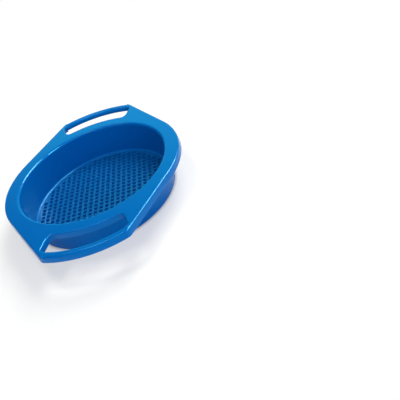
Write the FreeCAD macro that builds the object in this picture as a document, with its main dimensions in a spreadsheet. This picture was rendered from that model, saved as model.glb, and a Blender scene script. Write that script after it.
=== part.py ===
import FreeCAD, Part
import math
import os

import Sketcher
from FreeCAD import Placement, Rotation, Vector

# A moulded sand sieve: a shallow round bowl with a perforated floor, a flat rim
# with a turned-down skirt, and two ears with a finger slot and a grip bar each.
# Millimetres, +Z up. The origin is the centre of the ring that it stands on, and
# the ears lie along Y. It is one moulding, divided at its natural lines.

SIZES = {
    # rim plan, from the mouth outward
    "mouth_radius": 90.2,
    "rim_band": 14.8,
    "rim_height": 41.0,
    "ear_radius": 114.3,
    "ear_width": 96.9,
    "ear_corner_radius": 9.5,
    # rim section
    "flange_thickness": 2.0,
    "edge_land": 0.1,
    "skirt_depth": 7.5,
    "skirt_thickness": 2.0,
    "skirt_draft": 7.5,
    # bowl
    "lip_radius": 3.0,
    "wall_thickness": 2.2,
    "wall_draft": 3.2,
    "floor_fillet": 2.0,
    "floor_thickness": 1.9,
    "foot_height": 0.3,
    "foot_width": 4.0,
    "base_edge_radius": 2.4,
    # perforated floor
    "mesh_pitch": 6.7,
    "hole_size": 4.4,
    "hole_draft": 14.0,
    "mesh_border": 0.8,
    # finger slots: the band between mouth and slot, then the slot's clear depth
    "slot_band": 13.2,
    "slot_opening": 24.0,
    "slot_end_band": 3.1,
    "slot_end_angle": 18.0,
    "slot_inner_corner": 6.5,
    "slot_outer_corner": 2.5,
    "slot_edge_radius": 1.5,
    "collar_thickness": 2.0,
    # grip bars
    "grip_width": 8.8,
    "grip_depth": 5.8,
    "grip_edge_radius": 3.4,
    "grip_top_thickness": 2.0,
    # how far a cutting shape runs past what it cuts
    "overrun": 5.0,
}

UP = Vector(0, 0, 1)
ORIGIN = (-1, 1)
NEAR = 1e-4  # how near an edge lies to count as the one looked for

doc = FreeCAD.newDocument("sand_sieve")


def make_sheet():
    """The spreadsheet of driving sizes, one aliased cell each."""
    made = doc.addObject("Spreadsheet::Sheet", "sizes")
    for row, (alias, value) in enumerate(SIZES.items(), start=1):
        made.set(f"A{row}", alias)
        made.set(f"B{row}", str(value))
        made.setAlias(f"B{row}", alias)
    doc.recompute()
    return made


sheet = make_sheet()


def size(alias):
    """A driving size, read back from the sheet."""
    return float(getattr(sheet, alias))


# Expressions that several sub-parts share.
FLANGE_UNDERSIDE = "sizes.rim_height - sizes.flange_thickness"
SKIRT_DROP = "sizes.skirt_depth - sizes.flange_thickness"
EDGE_RADIUS = "sizes.flange_thickness - sizes.edge_land"
SIDE_RADIUS = "(sizes.mouth_radius + sizes.rim_band)"
SLOT_INNER_RADIUS = "(sizes.mouth_radius + sizes.slot_band)"
SLOT_OUTER_RADIUS = "(sizes.ear_radius - sizes.grip_width)"
HALF_LENGTH = f"({SLOT_INNER_RADIUS} + sizes.slot_opening + sizes.grip_width)"
EAR_CENTRE_Y = f"({HALF_LENGTH} - sizes.ear_radius)"
EAR_CORNER_X = "(sizes.ear_width / 2 - sizes.ear_corner_radius)"
PAST_EAR = f"({HALF_LENGTH} + sizes.overrun)"
GRIP_END_X = "(sizes.ear_width / 2 - sizes.slot_end_band - sizes.slot_outer_corner)"
GRIP_END_Y = (
    f"({EAR_CENTRE_Y} + sqrt(({SLOT_OUTER_RADIUS} - sizes.slot_outer_corner)^2"
    f" - {GRIP_END_X}^2))"
)

# The same places as numbers, from which the sketches start to solve.
side_radius = size("mouth_radius") + size("rim_band")
slot_inner_radius = size("mouth_radius") + size("slot_band")
half_length = slot_inner_radius + size("slot_opening") + size("grip_width")
ear_centre = Vector(0, half_length - size("ear_radius"))


def on_ear(x, radius):
    """The point at x on a circle about the ear's centre."""
    return Vector(x, ear_centre.y + math.sqrt(radius ** 2 - x ** 2))


def floor_radius():
    """Where the floor meets its fillet: the wall leans in from the lip by its draft."""
    lean = math.radians(size("wall_draft"))
    rise = size("rim_height") - size("foot_height") - size("floor_thickness")
    round_sizes = size("lip_radius") + size("floor_fillet")
    inward = round_sizes + (rise - round_sizes) * math.sin(lean)
    return size("mouth_radius") - inward / math.cos(lean)


# Bodies, sketches and features

def start(geometry):
    return (geometry, 1)


def end(geometry):
    return (geometry, 2)


def centre(geometry):
    return (geometry, 3)


def make_body(name):
    body = doc.addObject("PartDesign::Body", name)
    body.Label = name
    return body


def origin_plane(body, role):
    """One of the body's own origin planes, by its role."""
    return next(f for f in body.Origin.OriginFeatures if f.Role == role)


def make_sketch(body, name, role="XY_Plane", height=None):
    """A sketch on the body's own plane, raised to a height given as an expression."""
    sketch = body.newObject("Sketcher::SketchObject", name)
    sketch.AttachmentSupport = [(origin_plane(body, role), "")]
    sketch.MapMode = "FlatFace"
    if height:
        sketch.setExpression("AttachmentOffset.Base.z", height)
    return sketch


def bind(sketch, kind, args, expression, start_value):
    """A dimension bound to an expression, set to its value first so that it solves."""
    index = sketch.addConstraint(Sketcher.Constraint(kind, *args, start_value))
    sketch.setExpression(f"Constraints[{index}]", expression)


def put_point(sketch, point, x, y, here):
    """Holds a point at expressions x and y; None leaves that way free."""
    if x is not None:
        bind(sketch, "DistanceX", (*ORIGIN, *point), x, here.x)
    if y is not None:
        bind(sketch, "DistanceY", (*ORIGIN, *point), y, here.y)


def join(sketch, kind, point, other):
    """Ties two points together, Coincident or Tangent."""
    sketch.addConstraint(Sketcher.Constraint(kind, *point, *other))


def arc(centre, radius, first, last):
    """An arc from one angle to another, counterclockwise, in radians."""
    return Part.ArcOfCircle(Part.Circle(centre, UP, radius), first, last)


def toward(angle, length=1):
    return Vector(math.cos(angle), math.sin(angle), 0) * length


def mirrored(point, sign_x=1, sign_y=1):
    return Vector(point.x * sign_x, point.y * sign_y, 0)


def join_tangent(sketch, loop):
    """Ties a closed run of (first point, last point) pairs end to end, tangent."""
    for here, after in zip(loop, loop[1:] + loop[:1]):
        join(sketch, "Tangent", here[1], after[0])


def add_rectangle(sketch, x_low, x_high, y_low, y_high):
    """A rectangle whose four sides lie at four expressions."""
    rough = size("ear_width")
    corners = [Vector(0, 0), Vector(rough, 0), Vector(rough, rough), Vector(0, rough)]
    first = sketch.GeometryCount
    for a, b in zip(corners, corners[1:] + corners[:1]):
        sketch.addGeometry(Part.LineSegment(a, b))
    for i in range(4):
        join(sketch, "Coincident", end(first + i), start(first + (i + 1) % 4))
        kind = "Horizontal" if i % 2 == 0 else "Vertical"
        sketch.addConstraint(Sketcher.Constraint(kind, first + i))
    put_point(sketch, start(first), x_low, y_low, corners[0])
    put_point(sketch, start(first + 2), x_high, y_high, corners[2])


def extrude(body, kind, name, sketch, length, draft=None, down=True):
    """A Pad or a Pocket of a sketch, its length and draft bound to expressions."""
    feature = body.newObject(f"PartDesign::{kind}", name)
    feature.Profile = sketch
    feature.setExpression("Length", length)
    if draft:
        feature.setExpression("TaperAngle", draft)
    feature.Reversed = down if kind == "Pad" else not down
    doc.recompute()
    return feature


def round_edges(body, name, edges, radius):
    """A fillet on the named edges of the body's last feature."""
    base = body.Tip
    fillet = body.newObject("PartDesign::Fillet", name)
    fillet.Base = (base, edges)
    fillet.setExpression("Radius", radius)
    doc.recompute()
    return fillet


def edges_over(shape, height, sketches):
    """Names of the edges at a height that lie over the curves of the sketches."""
    names = []
    for number, edge in enumerate(shape.Edges, start=1):
        middle = edge.valueAt((edge.FirstParameter + edge.LastParameter) / 2)
        if abs(middle.z - height) > NEAR:
            continue
        for sketch in sketches:
            over = Part.Vertex(middle.x, middle.y, sketch.Placement.Base.z)
            if sketch.Shape.distToShape(over)[0] < NEAR:
                names.append(f"Edge{number}")
    return names


def turn_half(body, turned):
    """The part on the other side is the same part turned half round."""
    angle = 180 if turned else 0
    body.Placement = Placement(Vector(), Rotation(UP, angle))


# The rim's outline and the finger slot, which several solids follow

def rim_outline(sketch, inset=None):
    """The rim in plan, or a line inside it by a named size: side arcs round the bowl,
    straight flanks tangent to them, an arc across each ear, and rounded corners."""
    inner = size(inset) if inset else 0
    less = f" - sizes.{inset}" if inset else ""
    side, ear = side_radius - inner, size("ear_radius") - inner
    corner = size("ear_corner_radius") - inner
    turn_in = on_ear(size("ear_width") / 2 - size("ear_corner_radius"), ear - corner)
    theta = math.atan2(turn_in.y - ear_centre.y, turn_in.x)
    phi = math.atan2(turn_in.y, turn_in.x) - math.acos((side - corner) / turn_in.Length)
    flank_start, flank_end = toward(phi, side), turn_in + toward(phi, corner)
    pi = math.pi
    first = sketch.GeometryCount
    sketch.addGeometry([
        arc(Vector(), side, -phi, phi),
        Part.LineSegment(flank_start, flank_end),
        arc(turn_in, corner, phi, theta),
        arc(ear_centre, ear, theta, pi - theta),
        arc(mirrored(turn_in, -1), corner, pi - theta, pi - phi),
        Part.LineSegment(mirrored(flank_end, -1), mirrored(flank_start, -1)),
        arc(Vector(), side, pi - phi, pi + phi),
        Part.LineSegment(mirrored(flank_start, -1, -1), mirrored(flank_end, -1, -1)),
        arc(mirrored(turn_in, -1, -1), corner, pi + phi, pi + theta),
        arc(mirrored(ear_centre, 1, -1), ear, pi + theta, 2 * pi - theta),
        arc(mirrored(turn_in, 1, -1), corner, 2 * pi - theta, 2 * pi - phi),
        Part.LineSegment(mirrored(flank_end, 1, -1), mirrored(flank_start, 1, -1)),
    ])
    join_tangent(sketch, [(start(first + i), end(first + i)) for i in range(12)])
    for i in (0, 6):
        put_point(sketch, centre(first + i), "0", "0", Vector())
        bind(sketch, "Radius", (first + i,), SIDE_RADIUS + less, side)
    for i, sign in ((3, 1), (9, -1)):
        put_point(sketch, centre(first + i), "0", f"{sign} * {EAR_CENTRE_Y}",
                  mirrored(ear_centre, 1, sign))
        bind(sketch, "Radius", (first + i,), f"sizes.ear_radius{less}", ear)
    for i, sign in ((2, 1), (4, -1), (8, -1), (10, 1)):
        put_point(sketch, centre(first + i), f"{sign} * {EAR_CORNER_X}", None,
                  mirrored(turn_in, sign))
        bind(sketch, "Radius", (first + i,), f"sizes.ear_corner_radius{less}", corner)


def slot_outline(sketch, grow=None):
    """The finger slot of the +Y ear, or a line outside it by a named size: its inner
    side follows the bowl, its outer side the grip bar, and its ends splay out."""
    outer = size(grow) if grow else 0
    plus = f" + sizes.{grow}" if grow else ""
    minus = f" - sizes.{grow}" if grow else ""
    pi, splay = math.pi, math.radians(size("slot_end_angle"))
    bar_side = size("ear_radius") - size("grip_width")
    near, far = size("slot_inner_corner"), size("slot_outer_corner")
    far_centre = on_ear(size("ear_width") / 2 - size("slot_end_band") - far, bar_side - far)
    bar_angle = math.atan2(far_centre.y - ear_centre.y, far_centre.x)
    offset = far_centre.dot(toward(-splay)) + far
    bowl_angle = math.acos((offset - near) / (slot_inner_radius + near)) - splay
    near_centre = toward(bowl_angle, slot_inner_radius + near)
    near, far = near + outer, far + outer
    end_low, end_high = near_centre + toward(-splay, near), far_centre + toward(-splay, far)
    first = sketch.GeometryCount
    sketch.addGeometry([
        arc(Vector(), slot_inner_radius - outer, bowl_angle, pi - bowl_angle),
        arc(near_centre, near, bowl_angle - pi, -splay),
        Part.LineSegment(end_low, end_high),
        arc(far_centre, far, -splay, bar_angle),
        arc(ear_centre, bar_side + outer, bar_angle, pi - bar_angle),
        arc(mirrored(far_centre, -1), far, pi - bar_angle, pi + splay),
        Part.LineSegment(mirrored(end_high, -1), mirrored(end_low, -1)),
        arc(mirrored(near_centre, -1), near, pi + splay, 2 * pi - bowl_angle),
    ])
    rest = [(start(first + i), end(first + i)) for i in range(1, 8)]
    join_tangent(sketch, [(end(first), start(first))] + rest)
    put_point(sketch, centre(first), "0", "0", Vector())
    put_point(sketch, centre(first + 4), "0", EAR_CENTRE_Y, ear_centre)
    bind(sketch, "Radius", (first,), SLOT_INNER_RADIUS + minus, slot_inner_radius - outer)
    bind(sketch, "Radius", (first + 4,), SLOT_OUTER_RADIUS + plus, bar_side + outer)
    for i, sign in ((3, 1), (5, -1)):
        put_point(sketch, centre(first + i), f"{sign} * {GRIP_END_X}", None,
                  mirrored(far_centre, sign))
        bind(sketch, "Radius", (first + i,), "sizes.slot_outer_corner" + plus, far)
    for i in (1, 7):
        bind(sketch, "Radius", (first + i,), "sizes.slot_inner_corner" + plus, near)
    for i, quarter, sign in ((2, 1, -1), (6, 3, 1)):
        turn = f"({quarter} * 90 + {sign} * sizes.slot_end_angle) * 1 deg"
        bind(sketch, "Angle", (first + i,), turn, quarter * pi / 2 + sign * splay)


def open_for_grip(body, name, height):
    """Clears the stretch of each ear that the grip bar takes."""
    spans = (("back", GRIP_END_Y, PAST_EAR), ("front", f"-{PAST_EAR}", f"-{GRIP_END_Y}"))
    for side, low, high in spans:
        sketch = make_sketch(body, f"{name}_{side}_gap", height=height)
        add_rectangle(sketch, f"-{GRIP_END_X}", GRIP_END_X, low, high)
        extrude(body, "Pocket", f"{name}_{side}_opening", sketch,
                "sizes.skirt_depth + sizes.overrun")


# Sub-parts

def make_rim_flange():
    """The flat rim: a plate with the mouth, the two finger slots and rounded edges."""
    body = make_body("rim_flange")
    outline = make_sketch(body, "flange_outline", height=FLANGE_UNDERSIDE)
    rim_outline(outline)
    extrude(body, "Pad", "flange_plate", outline, "sizes.flange_thickness", down=False)
    mouth = make_sketch(body, "mouth", height="sizes.rim_height")
    mouth.addGeometry(Part.Circle(Vector(), UP, size("mouth_radius")))
    put_point(mouth, centre(0), "0", "0", Vector())
    bind(mouth, "Radius", (0,), "sizes.mouth_radius", size("mouth_radius"))
    extrude(body, "Pocket", "mouth_opening", mouth, "sizes.flange_thickness + sizes.overrun")
    slot = make_sketch(body, "slot", height="sizes.rim_height")
    slot_outline(slot)
    back = extrude(body, "Pocket", "slot_opening", slot,
                   "sizes.flange_thickness + sizes.overrun")
    both = body.newObject("PartDesign::Mirrored", "both_slots")
    both.Originals = [back]
    both.MirrorPlane = (origin_plane(body, "XZ_Plane"), [""])
    body.Tip = both
    doc.recompute()
    top = size("rim_height")
    round_edges(body, "outer_edge", edges_over(both.Shape, top, [outline]), EDGE_RADIUS)
    rounded = body.Tip.Shape
    slot_edges = edges_over(rounded, top, [slot])
    turned = rounded.copy()
    turned.Placement = Placement(Vector(), Rotation(UP, 180))
    slot_edges += [e for e in edges_over(turned, top, [slot]) if e not in slot_edges]
    round_edges(body, "slot_edges", slot_edges, f"min(sizes.slot_edge_radius; {EDGE_RADIUS})")
    open_for_grip(body, "flange", "sizes.rim_height")
    return body


def make_skirt(name, turned):
    """The rim's turned-down skirt on one side, from grip bar to grip bar."""
    body = make_body(name)
    outer = make_sketch(body, f"{name}_outer", height=FLANGE_UNDERSIDE)
    rim_outline(outer)
    extrude(body, "Pad", f"{name}_block", outer, SKIRT_DROP, draft="sizes.skirt_draft")
    inner = make_sketch(body, f"{name}_inner", height=FLANGE_UNDERSIDE)
    rim_outline(inner, "skirt_thickness")
    extrude(body, "Pocket", f"{name}_hollow", inner, f"{SKIRT_DROP} + sizes.overrun",
            draft="-sizes.skirt_draft")
    other = make_sketch(body, f"{name}_other_side", height=FLANGE_UNDERSIDE)
    add_rectangle(other, f"-{PAST_EAR}", GRIP_END_X, f"-{PAST_EAR}", PAST_EAR)
    extrude(body, "Pocket", f"{name}_ends", other, f"{SKIRT_DROP} + sizes.overrun")
    turn_half(body, turned)
    return body


def make_slot_collar(name, turned):
    """The turned-down wall round a finger slot, open where the grip bar is."""
    body = make_body(name)
    strip = make_sketch(body, f"{name}_strip", height=FLANGE_UNDERSIDE)
    slot_outline(strip)
    slot_outline(strip, "collar_thickness")
    extrude(body, "Pad", f"{name}_wall", strip, SKIRT_DROP)
    gap = make_sketch(body, f"{name}_gap", height=FLANGE_UNDERSIDE)
    add_rectangle(gap, f"-{GRIP_END_X}", GRIP_END_X, GRIP_END_Y, PAST_EAR)
    extrude(body, "Pocket", f"{name}_opening", gap, f"{SKIRT_DROP} + sizes.overrun")
    turn_half(body, turned)
    return body


def make_grip(name, turned):
    """A grip bar: a channel open below with a well rounded top, bent along the ear.
    Its outer leg carries the rim's skirt on, its inner leg the slot's collar."""
    body = make_body(name)
    outer, inner = half_length, half_length - size("grip_width")
    top, rounding = size("rim_height"), size("grip_edge_radius")
    out_low, in_low = top - size("skirt_depth"), top - size("grip_depth")
    ceiling = top - size("grip_top_thickness")
    lean = math.radians(size("skirt_draft"))
    skirt_top = top - size("flange_thickness")
    foot = Vector(outer + (skirt_top - out_low) * math.tan(lean), out_low)
    in_centre = Vector(inner + rounding, top - rounding)
    # The outer rounding touches the top and the leaning outer face.
    face_x = outer + (skirt_top - in_centre.y) * math.tan(lean)
    out_centre = Vector(face_x - rounding / math.cos(lean), in_centre.y)
    leg_top = out_centre + toward(lean, rounding)
    leg = size("skirt_thickness")
    in_leg = inner + size("collar_thickness")
    hollow_out = Vector(foot.x - leg - (ceiling - out_low) * math.tan(lean), ceiling)
    corners = [foot, leg_top, out_centre + toward(math.pi / 2, rounding),
               in_centre + toward(math.pi / 2, rounding), in_centre + toward(math.pi, rounding),
               Vector(inner, in_low), Vector(in_leg, in_low), Vector(in_leg, ceiling),
               hollow_out, Vector(foot.x - leg, out_low)]
    section = make_sketch(body, f"{name}_section", "YZ_Plane")
    for i, (a, b) in enumerate(zip(corners, corners[1:] + corners[:1])):
        if i == 1:
            section.addGeometry(arc(out_centre, rounding, lean, math.pi / 2))
        elif i == 3:
            section.addGeometry(arc(in_centre, rounding, math.pi / 2, math.pi))
        else:
            section.addGeometry(Part.LineSegment(a, b))
    for i in range(10):
        join(section, "Tangent" if i < 4 else "Coincident", end(i), start((i + 1) % 10))
    for i in (4, 6):
        section.addConstraint(Sketcher.Constraint("Vertical", i))
    for i in (5, 7, 9):
        section.addConstraint(Sketcher.Constraint("Horizontal", i))
    section.addConstraint(Sketcher.Constraint("Parallel", 0, 8))
    flare = f"({SKIRT_DROP}) * tan(sizes.skirt_draft * 1 deg)"
    put_point(section, start(0), f"{HALF_LENGTH} + {flare}",
              "sizes.rim_height - sizes.skirt_depth", foot)
    put_point(section, centre(3), f"{HALF_LENGTH} - sizes.grip_width + sizes.grip_edge_radius",
              "sizes.rim_height - sizes.grip_edge_radius", in_centre)
    put_point(section, end(4), None, "sizes.rim_height - sizes.grip_depth", corners[5])
    put_point(section, start(7), None, "sizes.rim_height - sizes.grip_top_thickness", corners[7])
    for i in (1, 3):
        bind(section, "Radius", (i,), "sizes.grip_edge_radius", rounding)
    bind(section, "Angle", (0,), "(90 + sizes.skirt_draft) * 1 deg", math.pi / 2 + lean)
    bind(section, "DistanceX", (*start(5), *end(5)), "sizes.collar_thickness", in_leg - inner)
    bind(section, "DistanceX", (*start(9), *end(9)), "sizes.skirt_thickness", leg)
    # The bend's axis stands at the centre of the ear's arc.
    low, high = Vector(ear_centre.y, 0), Vector(ear_centre.y, top)
    axis = section.addGeometry(Part.LineSegment(low, high), True)
    put_point(section, start(axis), EAR_CENTRE_Y, "0", low)
    put_point(section, end(axis), EAR_CENTRE_Y, "sizes.rim_height", high)
    bar = body.newObject("PartDesign::Revolution", f"{name}_bar")
    bar.Profile = section
    bar.ReferenceAxis = (section, ["Axis0"])
    bar.Midplane = True
    reach = f"({GRIP_END_X} + sizes.overrun)"
    bar.setExpression("Angle", f"2 * asin({reach} / {SLOT_OUTER_RADIUS})")
    doc.recompute()
    ends = make_sketch(body, f"{name}_ends", height="sizes.rim_height")
    for low_x, high_x in ((f"-{PAST_EAR}", f"-{GRIP_END_X}"), (GRIP_END_X, PAST_EAR)):
        add_rectangle(ends, low_x, high_x, "0", PAST_EAR)
    extrude(body, "Pocket", f"{name}_end_cuts", ends, "sizes.skirt_depth + sizes.overrun")
    turn_half(body, turned)
    return body


def make_bowl_wall():
    """The round wall with its rounded lip, the fillet to the floor and the foot ring."""
    body = make_body("bowl_wall")
    section = make_sketch(body, "wall_section", "XZ_Plane")
    top, mouth, lip = size("rim_height"), size("mouth_radius"), size("lip_radius")
    floor_r, fillet = floor_radius(), size("floor_fillet")
    foot, base_round = size("foot_height"), size("base_edge_radius")
    floor_z = foot + size("floor_thickness")
    under = top - size("flange_thickness")
    lean = math.radians(size("wall_draft"))
    lip_centre, fillet_centre = Vector(mouth, top - lip), Vector(floor_r, floor_z + fillet)
    lip_end = lip_centre + toward(math.pi - lean, lip)
    fillet_start = fillet_centre + toward(-lean, fillet)
    on_outside = fillet_start + toward(-lean, size("wall_thickness"))

    def outside(height):
        """The outer face at a height."""
        rise = height - on_outside.y
        return Vector(on_outside.x + rise * math.tan(lean), height)

    base_centre = Vector(outside(base_round).x - base_round / math.cos(lean), base_round)
    base_end, base_start = base_centre + toward(-lean, base_round), Vector(base_centre.x, 0)
    foot_in = Vector(base_centre.x + base_round - size("foot_width"), 0)
    section.addGeometry([
        arc(lip_centre, lip, math.pi / 2, math.pi - lean),
        Part.LineSegment(lip_end, fillet_start),
        arc(fillet_centre, fillet, -math.pi / 2, -lean),
        Part.LineSegment(Vector(floor_r, floor_z), Vector(floor_r, foot)),
        Part.LineSegment(Vector(floor_r, foot), Vector(foot_in.x, foot)),
        Part.LineSegment(Vector(foot_in.x, foot), foot_in),
        Part.LineSegment(foot_in, base_start),
        arc(base_centre, base_round, -math.pi / 2, -lean),
        Part.LineSegment(base_end, outside(under)),
        Part.LineSegment(outside(under), Vector(mouth, under)),
        Part.LineSegment(Vector(mouth, under), Vector(mouth, top)),
    ])
    for point, other in ((end(0), start(1)), (end(1), end(2)), (end(6), start(7)),
                         (end(7), start(8))):
        join(section, "Tangent", point, other)
    for point, other in ((start(2), start(3)), (end(3), start(4)), (end(4), start(5)),
                         (end(5), start(6)), (end(8), start(9)), (end(9), start(10)),
                         (end(10), start(0))):
        join(section, "Coincident", point, other)
    for i in (3, 5, 10):
        section.addConstraint(Sketcher.Constraint("Vertical", i))
    for i in (4, 6, 9):
        section.addConstraint(Sketcher.Constraint("Horizontal", i))
    section.addConstraint(Sketcher.Constraint("Parallel", 1, 8))
    put_point(section, centre(0), "sizes.mouth_radius", "sizes.rim_height - sizes.lip_radius",
              lip_centre)
    put_point(section, start(0), "sizes.mouth_radius", None, Vector(mouth, top))
    floor_top = "sizes.foot_height + sizes.floor_thickness"
    join(section, "Vertical", start(2), centre(2))
    put_point(section, start(2), None, floor_top, Vector(floor_r, floor_z))
    put_point(section, end(3), None, "sizes.foot_height", Vector(floor_r, foot))
    put_point(section, end(5), None, "0", foot_in)
    put_point(section, end(8), None, FLANGE_UNDERSIDE, Vector(0, under))
    bind(section, "Radius", (0,), "sizes.lip_radius", lip)
    bind(section, "Radius", (2,), "sizes.floor_fillet", fillet)
    bind(section, "Radius", (7,), "sizes.base_edge_radius", base_round)
    bind(section, "Angle", (8,), "(90 - sizes.wall_draft) * 1 deg", math.pi / 2 - lean)
    bind(section, "Distance", (*start(8), 1), "sizes.wall_thickness", size("wall_thickness"))
    bind(section, "DistanceX", (*end(5), *centre(7)),
         "sizes.foot_width - sizes.base_edge_radius", size("foot_width") - base_round)
    wall = body.newObject("PartDesign::Revolution", "wall_ring")
    wall.Profile = section
    wall.ReferenceAxis = (section, ["V_Axis"])
    wall.Angle = 360
    doc.recompute()
    return body


def make_mesh_floor():
    """The perforated floor: a disc with rows of square holes, ribs crossing at its
    centre. The holes narrow downward. Only those whole inside the plain border are cut."""
    floor_r, under = floor_radius(), size("foot_height")
    top = under + size("floor_thickness")
    pitch, half_hole = size("mesh_pitch"), size("hole_size") / 2
    half_low = half_hole - size("floor_thickness") * math.tan(math.radians(size("hole_draft")))
    reach = floor_r - size("mesh_border")
    rows = math.ceil(reach / pitch)
    around = ((-1, -1), (-1, 1), (1, 1), (1, -1), (-1, -1))
    top_wires, low_wires, sides = [], [], []
    for column in range(-rows, rows):
        for row in range(-rows, rows):
            x, y = (column + 0.5) * pitch, (row + 0.5) * pitch
            if math.hypot(abs(x) + half_hole, abs(y) + half_hole) > reach:
                continue
            high = [Vector(x + sx * half_hole, y + sy * half_hole, top) for sx, sy in around]
            low = [Vector(x + sx * half_low, y + sy * half_low, under) for sx, sy in around]
            top_wires.append(Part.makePolygon(high))
            low_wires.append(Part.makePolygon(low))
            for a, b, c, d in zip(high, high[1:], low[1:], low):
                sides.append(Part.Face(Part.makePolygon([a, b, c, d, a])))
    edge = Part.Circle(Vector(0, 0, under), UP, floor_r).toShape()
    rim = edge.extrude(UP * size("floor_thickness"))
    flats = [Part.Face([Part.Wire(Part.Circle(Vector(0, 0, height), UP, floor_r).toShape())]
                       + wires) for height, wires in ((top, top_wires), (under, low_wires))]
    shell = Part.makeShell(flats + sides + rim.Faces)
    shell.sewShape()
    plate = doc.addObject("Part::Feature", "mesh_floor")
    plate.Label = "mesh_floor"
    plate.Shape = Part.makeSolid(Part.Shell(shell.Faces))
    print("holes in the floor:", len(top_wires))
    return plate


sub_parts = [
    make_bowl_wall(),
    make_mesh_floor(),
    make_rim_flange(),
    make_skirt("right_skirt", False),
    make_skirt("left_skirt", True),
    make_grip("back_grip", False),
    make_grip("front_grip", True),
    make_slot_collar("back_slot_collar", False),
    make_slot_collar("front_slot_collar", True),
]


def check_and_write():
    """Stops on any failed object or bad solid, then writes one file per sub-part."""
    doc.recompute()
    for thing in doc.Objects:
        if "Invalid" in thing.State or "Error" in thing.State:
            raise RuntimeError(f"{thing.Name} failed: {thing.State}")
    os.makedirs("parts", exist_ok=True)
    for part in sub_parts:
        shape = part.Shape
        if shape.isNull() or not shape.isValid() or len(shape.Solids) != 1:
            raise RuntimeError(f"{part.Label} is not one valid solid")
        shape.exportStep(f"parts/{part.Label}.step")
        box = shape.BoundBox
        print(part.Label, round(shape.Volume), "mm3", round(box.XLength, 2),
              round(box.YLength, 2), round(box.ZMin, 2), round(box.ZMax, 2))


check_and_write()
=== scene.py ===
"""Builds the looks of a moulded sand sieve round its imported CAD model."""
import math

import bmesh
import bpy
from bpy.props import FloatProperty, FloatVectorProperty, IntProperty, PointerProperty
from bpy.types import Operator, Panel, PropertyGroup
from mathutils import Matrix, Vector


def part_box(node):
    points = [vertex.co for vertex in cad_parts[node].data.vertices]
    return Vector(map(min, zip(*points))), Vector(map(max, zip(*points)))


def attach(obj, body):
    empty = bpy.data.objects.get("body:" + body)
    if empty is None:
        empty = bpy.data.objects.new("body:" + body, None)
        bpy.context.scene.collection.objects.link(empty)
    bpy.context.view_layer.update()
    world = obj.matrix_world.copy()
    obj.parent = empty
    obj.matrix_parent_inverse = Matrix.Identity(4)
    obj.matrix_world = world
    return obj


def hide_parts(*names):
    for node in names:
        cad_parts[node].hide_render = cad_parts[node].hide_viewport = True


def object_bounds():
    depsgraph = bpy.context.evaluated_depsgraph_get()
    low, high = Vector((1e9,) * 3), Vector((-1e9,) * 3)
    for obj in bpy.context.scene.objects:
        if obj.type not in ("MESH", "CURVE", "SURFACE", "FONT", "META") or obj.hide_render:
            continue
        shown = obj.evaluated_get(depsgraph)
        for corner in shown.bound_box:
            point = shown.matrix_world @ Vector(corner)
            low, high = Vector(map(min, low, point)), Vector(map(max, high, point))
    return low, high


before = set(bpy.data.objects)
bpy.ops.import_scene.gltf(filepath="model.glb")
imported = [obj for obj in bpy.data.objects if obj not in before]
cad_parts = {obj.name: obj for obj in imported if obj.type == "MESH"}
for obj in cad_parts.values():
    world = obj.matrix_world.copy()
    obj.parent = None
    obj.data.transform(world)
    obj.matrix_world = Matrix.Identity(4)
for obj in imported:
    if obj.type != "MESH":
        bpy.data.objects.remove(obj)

bl_info = {
    "name": "Sand Sieve",
    "version": (1, 0, 0),
    "blender": (4, 5, 0),
    "location": "3D View > Sidebar > Sieve",
    "description": "Builds a moulded sand sieve round its packed CAD model",
    "category": "Object",
}

CAD_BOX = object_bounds()
_, BOWL_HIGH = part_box("bowl_wall")
FLOOR_LOW, FLOOR_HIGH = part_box("mesh_floor")
FLANGE_LOW, FLANGE_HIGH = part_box("rim_flange")
SKIRT_LOW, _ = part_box("right_skirt")
_, GRIP_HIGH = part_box("back_grip")
HALF_LENGTH = CAD_BOX[1].y

BODY = "root"
ORIGIN = Vector((0, 0))

# The first and last step of an arc, the angle from which an edge stays sharp, and the
# distances within which two points are one and a point lies in a plane
FINE_STEP = math.radians(0.4)
SHARP_ANGLE = math.radians(34)
MERGE = 1e-6
LEVEL = 1e-8

# Steps along the rounded lines of the moulding
SOFT_EDGE_STEPS = 5
TOP_EDGE_STEPS = 8
BOWL_STEPS = 12
RIM_SIDE_STEPS = 22
EAR_CORNER_STEPS = 10
SLOT_INNER_STEPS = 16
SLOT_INNER_CORNER_STEPS = 9
SLOT_OUTER_CORNER_STEPS = 8
SLOT_BAR_STEPS = 1
HOLE_CORNER_STEPS = 3
HOLE_EDGE_POINTS = 4
GRIP_STEPS = 30
GRIP_BLEND_SHARES = (0, 0.1, 0.3, 0.5, 0.7, 0.9, 1)

# The plastic: its way of reflecting, and the noise behind its patches, flow and peel
PLASTIC_IOR = 1.49
PLASTIC_SPECULAR = 0.45
BUMP_STRENGTH = 0.5
PATCHES = {"Scale": 22.0, "Detail": 3.0, "Roughness": 0.6}
FLOW = {"Scale": 90.0, "Detail": 4.0, "Roughness": 0.55}
PEEL = {"Detail": 2.0, "Roughness": 0.5}

# The camera that took the photo, with its lens and sensor in millimetres
CAMERA_LENS, CAMERA_SENSOR = 48.33, 36
CAMERA_PLACE = Vector((0.17052, -0.51120, 0.34925))
CAMERA_TARGET = Vector((0.11429, -0.08716, 0.02))
CAMERA_ROLL = math.radians(-21.55)

# Each light's name, its azimuth from the back toward the right and its elevation in
# degrees, its distance and width in metres, its power in watts, and whether it is a card
# that only reflections see
LIGHTS = (
    ("key_softbox", 42, 50, 2.4, 1.25, 50, False),
    ("overhead_softbox", -59, 79, 1.6, 0.4, 5.8, False),
    ("key_card", 40, 53, 1.5, 0.65, 30, True),
    ("side_card", 112, 56, 1.5, 0.4, 26, True),
    ("back_card", -45, 60, 1.5, 0.3, 1.2, True),
)
SOFTBOX_COLOUR = (1.0, 0.99, 0.9)

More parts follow.
